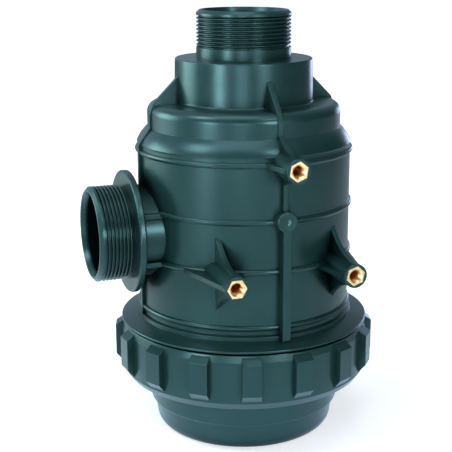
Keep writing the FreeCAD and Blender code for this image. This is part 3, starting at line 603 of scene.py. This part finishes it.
@dataclass(frozen=True)
class Thread:
    """A right-hand screw thread whose ridge is swept along a helix.

    The ridge is a rounded trapezium: half a crest land, a flank, and a foot that is sunk in the
    root. Both ends sink into the root over part of a turn.

    Attributes:
        start_mm: Where the ridge starts along the axis.
        end_mm: Where it ends.
        root_mm: Radius of the wall that it stands on.
        crest_mm: Radius of its crest, which is less than the root's for an inner thread.
        crest_half_mm: Half the width of the crest land.
        flank_mm: Width of a flank along the axis.
        sunk_mm: How deep the foot is sunk in the wall.
        fade_turns: Turns over which an end rises out of the wall.
        end_share: Share of the full height at the very ends, so that they keep some area.
        section_points: Points over the crest and both flanks.
    """

    axis: Axis
    start_mm: float
    end_mm: float
    pitch_mm: float
    root_mm: float
    crest_mm: float
    crest_half_mm: float
    flank_mm: float
    sunk_mm: float
    fade_turns: float = 0.25
    end_share: float = 0.02
    section_points: int = 15
    steps_per_turn: int = 72

    def section(self) -> tuple[np.ndarray, np.ndarray]:
        """Works out the ridge's cross-section.

        The height over the root is 1 on the crest land and falls with a smooth step,
        3t^2 - 2t^3 blended half and half with a straight line, over the flank.

        Returns:
            The offset along the axis in millimetres, and the height from 0 at the sunk foot
            to 1 at the crest, for each point round the section.
        """
        across = np.linspace(-1.0, 1.0, self.section_points)
        half = self.crest_half_mm + self.flank_mm
        offset = across * half
        fall = np.clip((np.abs(offset) - self.crest_half_mm) / self.flank_mm, 0.0, 1.0)
        smooth = fall * fall * (3.0 - 2.0 * fall)
        share = 1.0 - 0.5 * (fall + smooth)
        rise = self.crest_mm - self.root_mm
        height = (self.sunk_mm + share * abs(rise)) / (self.sunk_mm + abs(rise))
        return np.append(offset, [half, -half]), np.append(height, [0.0, 0.0])

    def surface(self) -> np.ndarray:
        """Sweeps the section along the helix: the reach grows by a pitch for each turn.

        Returns:
            Points in metres, as rows along the helix and columns round the section.
        """
        turns = (self.end_mm - self.start_mm) / self.pitch_mm
        along = np.linspace(0.0, turns, int(turns * self.steps_per_turn) + 1)[:, None]
        offset, height = self.section()
        fade = np.clip(np.minimum(along, turns - along) / self.fade_turns, 0.0, 1.0)
        fade = self.end_share + (1.0 - self.end_share) * fade * fade * (3.0 - 2.0 * fade)
        outward = 1.0 if self.crest_mm > self.root_mm else -1.0
        foot = self.root_mm - outward * self.sunk_mm
        radius = foot + (self.crest_mm - foot) * height[None, :] * fade
        reach = self.start_mm + along * self.pitch_mm + offset[None, :]
        return self.axis.points(reach, radius, 2.0 * math.pi * along)


@dataclass
class Housing:
    """The housing moulding with the threads of its ports, of its skirt and of its inserts."""

    root_mm: float = 28.35
    crest_mm: float = 29.76
    pitch_mm: float = 2.309
    outlet_from_mm: float = 249.2
    outlet_to_mm: float = 268.2
    inlet_height_mm: float = 136.2
    inlet_from_mm: float = 81.0
    inlet_to_mm: float = 98.6
    skirt_root_mm: float = 73.9
    skirt_crest_mm: float = 75.25
    skirt_pitch_mm: float = 5.0
    skirt_from_mm: float = 53.0
    skirt_to_mm: float = 70.6
    boss_face_mm: float = 90.1
    insert_wall_mm: float = 3.4
    insert_ridge_mm: float = 3.12
    insert_pitch_mm: float = 1.25
    insert_from_mm: float = 1.6
    insert_to_mm: float = 11.2
    bosses_mm: Mapping[str, tuple[float, float]] = field(default_factory=lambda: {
        "upper": (0.0, 185.8), "lower_left": (-37.4, 120.1), "lower_right": (37.4, 120.1)})

    def port_thread(self, axis: Axis, start_mm: float, end_mm: float) -> Thread:
        """Describes one port's thread.

        Args:
            axis: The port's axis.
            start_mm: Where the ridge starts along the axis.
            end_mm: Where it ends.

        Returns:
            The thread.
        """
        return Thread(
            axis, start_mm, end_mm, self.pitch_mm, self.root_mm, self.crest_mm,
            crest_half_mm=0.22, flank_mm=0.76, sunk_mm=0.4)

    def build(self) -> None:
        """Makes the housing's pieces and dresses its nodes."""
        plastic = HOUSING_PLASTIC.material()
        finish_node("housing", plastic)
        outlet = self.port_thread(UPWARDS, self.outlet_from_mm, self.outlet_to_mm)
        closed_piece("outlet_thread", outlet.surface(), "housing", plastic)
        sideways = Axis(
            (0.0, 0.0, self.inlet_height_mm), (-1.0, 0.0, 0.0), (0.0, 0.0, 1.0), (0.0, 1.0, 0.0))
        inlet = self.port_thread(sideways, self.inlet_from_mm, self.inlet_to_mm)
        closed_piece("inlet_thread", inlet.surface(), "housing", plastic)
        skirt = Thread(
            UPWARDS, self.skirt_from_mm, self.skirt_to_mm, self.skirt_pitch_mm, self.skirt_root_mm,
            self.skirt_crest_mm, crest_half_mm=0.9, flank_mm=0.8, sunk_mm=0.5, steps_per_turn=120)
        closed_piece("skirt_thread", skirt.surface(), "housing", plastic)
        for name, (x_mm, z_mm) in self.bosses_mm.items():
            self.dress_insert(name, x_mm, z_mm)

    def dress_insert(self, name: str, x_mm: float, z_mm: float) -> None:
        """Dresses one brass insert and cuts its thread.

        Args:
            name: The boss's name.
            x_mm: The insert's axis along X.
            z_mm: The insert's axis along Z.
        """
        brass = TurnedBrass().material((x_mm, z_mm))
        finish_node("insert_" + name, brass)
        axis = Axis(
            (x_mm, -self.boss_face_mm, z_mm), (0.0, 1.0, 0.0), (0.0, 0.0, 1.0), (1.0, 0.0, 0.0))
        thread = Thread(
            axis, self.insert_from_mm, self.insert_to_mm, self.insert_pitch_mm,
            self.insert_wall_mm, self.insert_ridge_mm, crest_half_mm=0.12, flank_mm=0.36,
            sunk_mm=0.3, steps_per_turn=36)
        closed_piece("insert_thread_" + name, thread.surface(), "housing", brass)


@dataclass
class RingNut:
    """The ring nut with its grip lugs."""

    node: str = "ring_nut"

    def build(self) -> None:
        """Dresses the nut."""
        finish_node(self.node, HOUSING_PLASTIC.material())


@dataclass
class Bowl:
    """The bowl with its seal ring."""

    shell: str = "bowl"
    ring: str = "bowl_o_ring"

    def build(self) -> None:
        """Dresses the bowl and its seal."""
        finish_node(self.shell, HOUSING_PLASTIC.material())
        finish_node(self.ring, NitrileRubber().material())


@dataclass
class Cartridge:
    """The filter cartridge: caps, cage, woven sleeve and seals."""

    plastic_nodes: tuple[str, ...] = (
        "cartridge_bottom_cap", "cartridge_cage", "cartridge_top_cap")
    seal_nodes: tuple[str, ...] = ("cartridge_bottom_seal", "cartridge_top_seal")
    mesh_node: str = "cartridge_mesh"

    def build(self) -> None:
        """Dresses every node of the cartridge."""
        plastic = CAGE_PLASTIC.material()
        rubber = NitrileRubber().material()
        for node in self.plastic_nodes:
            finish_node(node, plastic)
        for node in self.seal_nodes:
            finish_node(node, rubber)
        finish_node(self.mesh_node, WovenSteel().material())


@dataclass(frozen=True)
class SoftBox:
    """A rectangular lamp that is aimed at the middle of the filter.

    Attributes:
        azimuth: Degrees from the camera's direction, positive to the camera's right.
        elevation: Degrees above the height that it is aimed at.
        distance: Metres from there.
        width: Width in metres.
        height: Height in metres.
        power: Power in watts.
        aim_z: Height in metres that it is aimed at.
        tint_hex: Colour of its light.
    """

    name: str
    azimuth: float
    elevation: float
    distance: float
    width: float
    height: float
    power: float
    aim_z: float = 0.14
    tint_hex: str = "#eaf5ff"

    def place(self, camera_azimuth: float) -> None:
        """Adds the lamp.

        Args:
            camera_azimuth: The camera's direction from the filter, in degrees; the lamp's own
                azimuth counts from it, positive to the camera's right.
        """
        lamp = bpy.data.lights.new(self.name, "AREA")
        lamp.shape = "RECTANGLE"
        lamp.size = self.width
        lamp.size_y = self.height
        lamp.energy = self.power
        lamp.color = linear(self.tint_hex)[:3]
        turn = math.radians(camera_azimuth + self.azimuth)
        lift = math.radians(self.elevation)
        holder = bpy.data.objects.new(self.name, lamp)
        holder.location = (
            self.distance * math.cos(lift) * math.cos(turn),
            self.distance * math.cos(lift) * math.sin(turn),
            self.aim_z + self.distance * math.sin(lift))
        holder.rotation_euler = (math.pi / 2 - lift, 0.0, turn + math.pi / 2)
        bpy.context.scene.collection.objects.link(holder)


@dataclass
class Studio:
    """Floor, backdrop light, lamps and camera, in metres and degrees.

    Attributes:
        floor_lift: Glow of the floor near the filter, where it is seen; it is 1 far off.
        lift_reach: Distances from the axis between which that glow rises.
        floor_gloss_near: Glow that reflections see at the filter's foot.
        floor_gloss_far: Glow that they see beyond it.
        gloss_reach: Distances from the axis between which that glow falls.
        fill_strength: Share of the room's light that lights matt surfaces.
        bright_side: Direction of the room's bright side; its length scales the rise.
        side_span: Reach towards the bright side at which the room starts to brighten, and stops.
        dark_side_level: Brightness of the room's dark side, as a share of the bright one.
        camera_pitch: How far the camera looks down.
    """

    floor_half: float = 6.0
    floor_hex: str = "#e9e9e8"
    floor_lift: float = 0.55
    lift_reach: Span = (0.15, 1.2)
    floor_gloss_near: float = 1.1
    floor_gloss_far: float = 0.05
    floor_gloss_hex: str = "#bfe0ff"
    gloss_reach: Span = (0.12, 0.31)
    pulp_mm: float = 1.5
    pulp_depth_mm: float = 0.02
    fill_strength: float = 0.12
    room_hex: str = "#c4dcf2"
    bright_side: tuple[float, float, float] = (-0.75, 0.55, 0.36)
    side_span: Span = (-0.5, 0.8)
    dark_side_level: float = 0.05
    camera_place: tuple[float, float, float] = (-0.24018, -0.64549, 0.3117)
    camera_pitch: float = 14.60
    camera_near: float = 0.01
    sensor_mm: float = 36.0
    lens_mm: float = 86.72
    shift_x: float = -0.0392
    lamps: tuple[SoftBox, ...] = (
        SoftBox("strip_left", -39.0, 2.0, 1.5, 0.34, 0.24, 9.0),
        SoftBox("strip_mid", -3.0, 2.0, 1.6, 0.5, 0.22, 4.4),
        SoftBox("key", -62.0, 50.0, 1.2, 0.35, 0.35, 5.5),
        SoftBox("strip_front", 33.0, 12.0, 1.5, 0.36, 0.34, 12.0),
        SoftBox("side_left", -102.0, 12.0, 1.3, 0.7, 0.7, 14.5, tint_hex="#cdeeee"),
        SoftBox("side_right", 152.0, 2.0, 1.4, 0.35, 0.3, 2.0, tint_hex="#c9dcff"),
        SoftBox("spark", 38.0, 47.0, 1.2, 0.14, 0.14, 2.5),
        SoftBox("overhead", -10.0, 74.0, 1.3, 0.9, 0.9, 8.0),
    )

    def light_world(self) -> None:
        """Sets a weak fill, brighter on one side, with white where the backdrop is seen."""
        world = bpy.data.worlds.new("backdrop")
        bpy.context.scene.world = world
        world.use_nodes = True
        tree = world.node_tree
        tree.nodes.clear()
        way = add_node(tree, "ShaderNodeTexCoord").outputs["Generated"]
        side = add_node(tree, "ShaderNodeVectorMath", {
            0: way, 1: self.bright_side}, operation="DOT_PRODUCT")
        room = remap(tree, side.outputs["Value"], self.side_span, (self.dark_side_level, 1.0))
        path = add_node(tree, "ShaderNodeLightPath").outputs
        share = remap(tree, path["Is Glossy Ray"], (0.0, 1.0), (self.fill_strength, 1.0))
        fill = combine(tree, "MULTIPLY", room, share)
        seen = combine(tree, "MAXIMUM", path["Is Camera Ray"], path["Is Transmission Ray"])
        strength = combine(tree, "MAXIMUM", fill, seen)
        # The room that the plastic mirrors at grazing angles is a cool grey.
        tint = blend(tree, seen, linear(self.room_hex), WHITE)
        sky = add_node(tree, "ShaderNodeBackground", {"Color": tint, "Strength": strength})
        add_node(tree, "ShaderNodeOutputWorld", {"Surface": sky.outputs["Background"]})

    def lay_floor(self) -> None:
        """Lays a wide, pale floor under the bowl; what is seen of it is lifted towards white.

        It rides on the bowl, so that the filter stands on it with the bowl let down too.
        """
        half = self.floor_half
        corners = [(-half, -half, 0.0), (half, -half, 0.0), (half, half, 0.0), (-half, half, 0.0)]
        mesh = bpy.data.meshes.new("floor")
        mesh.from_pydata(corners, [], [(0, 1, 2, 3)])
        material = new_material("pale paper floor")
        tree = material.node_tree
        place = add_node(tree, "ShaderNodeTexCoord").outputs["Object"]
        pulp = add_node(tree, "ShaderNodeTexNoise", {
            "Vector": place, "Scale": per_metre(self.pulp_mm)})
        bump = add_node(tree, "ShaderNodeBump", {
            "Height": pulp.outputs["Fac"], "Strength": 0.2, "Distance": self.pulp_depth_mm * MM})
        away = add_node(tree, "ShaderNodeVectorMath", {0: place}, operation="LENGTH")
        rise = remap(tree, away.outputs["Value"], self.lift_reach, (self.floor_lift, 1.0))
        # Reflections see a bright floor at the filter's foot and a dim room beyond it.
        sheen = remap(
            tree, away.outputs["Value"], self.gloss_reach,
            (self.floor_gloss_near, self.floor_gloss_far))
        path = add_node(tree, "ShaderNodeLightPath").outputs
        seen = combine(tree, "MAXIMUM", path["Is Camera Ray"], path["Is Transmission Ray"])
        direct = combine(tree, "MULTIPLY", seen, rise)
        mirrored = combine(tree, "MULTIPLY", path["Is Glossy Ray"], sheen)
        lift = combine(tree, "ADD", direct, mirrored)
        glow = blend(tree, path["Is Glossy Ray"], WHITE, linear(self.floor_gloss_hex))
        paper = add_node(tree, "ShaderNodeBsdfPrincipled", {
            "Base Color": linear(self.floor_hex), "Roughness": 0.9, "Emission Color": glow,
            "Emission Strength": lift, "Normal": bump.outputs["Normal"]})
        add_node(tree, "ShaderNodeOutputMaterial", {"Surface": paper.outputs["BSDF"]})
        mesh.materials.append(material)
        floor = bpy.data.objects.new("floor", mesh)
        bpy.context.scene.collection.objects.link(floor)
        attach(floor, "bowl")

    def set_camera(self) -> float:
        """Adds the camera, aimed at the filter's axis in plan and pitched down.

        Returns:
            The camera's azimuth from the filter, in degrees.
        """
        lens = bpy.data.cameras.new("camera")
        lens.lens = self.lens_mm
        lens.sensor_width = self.sensor_mm
        lens.shift_x = self.shift_x
        lens.clip_start = self.camera_near
        holder = bpy.data.objects.new("camera", lens)
        holder.location = self.camera_place
        yaw = math.atan2(self.camera_place[0], -self.camera_place[1])
        holder.rotation_euler = (math.radians(90.0 - self.camera_pitch), 0.0, yaw)
        bpy.context.scene.collection.objects.link(holder)
        bpy.context.scene.camera = holder
        return math.degrees(math.atan2(self.camera_place[1], self.camera_place[0]))

    def build(self) -> None:
        """Sets up everything round the filter."""
        bpy.context.scene.view_settings.view_transform = "Standard"
        self.light_world()
        self.lay_floor()
        azimuth = self.set_camera()
        for lamp in self.lamps:
            lamp.place(azimuth)
        log.info("studio ready with %d lamps", len(self.lamps))


def main() -> None:
    """Builds the filter's looks and the studio, piece by piece."""
    logging.basicConfig(level=logging.INFO, format="%(name)s: %(message)s")
    for assembly in (Housing(), RingNut(), Bowl(), Cartridge(), Studio()):
        assembly.build()


if __name__ == "__main__":
    main()
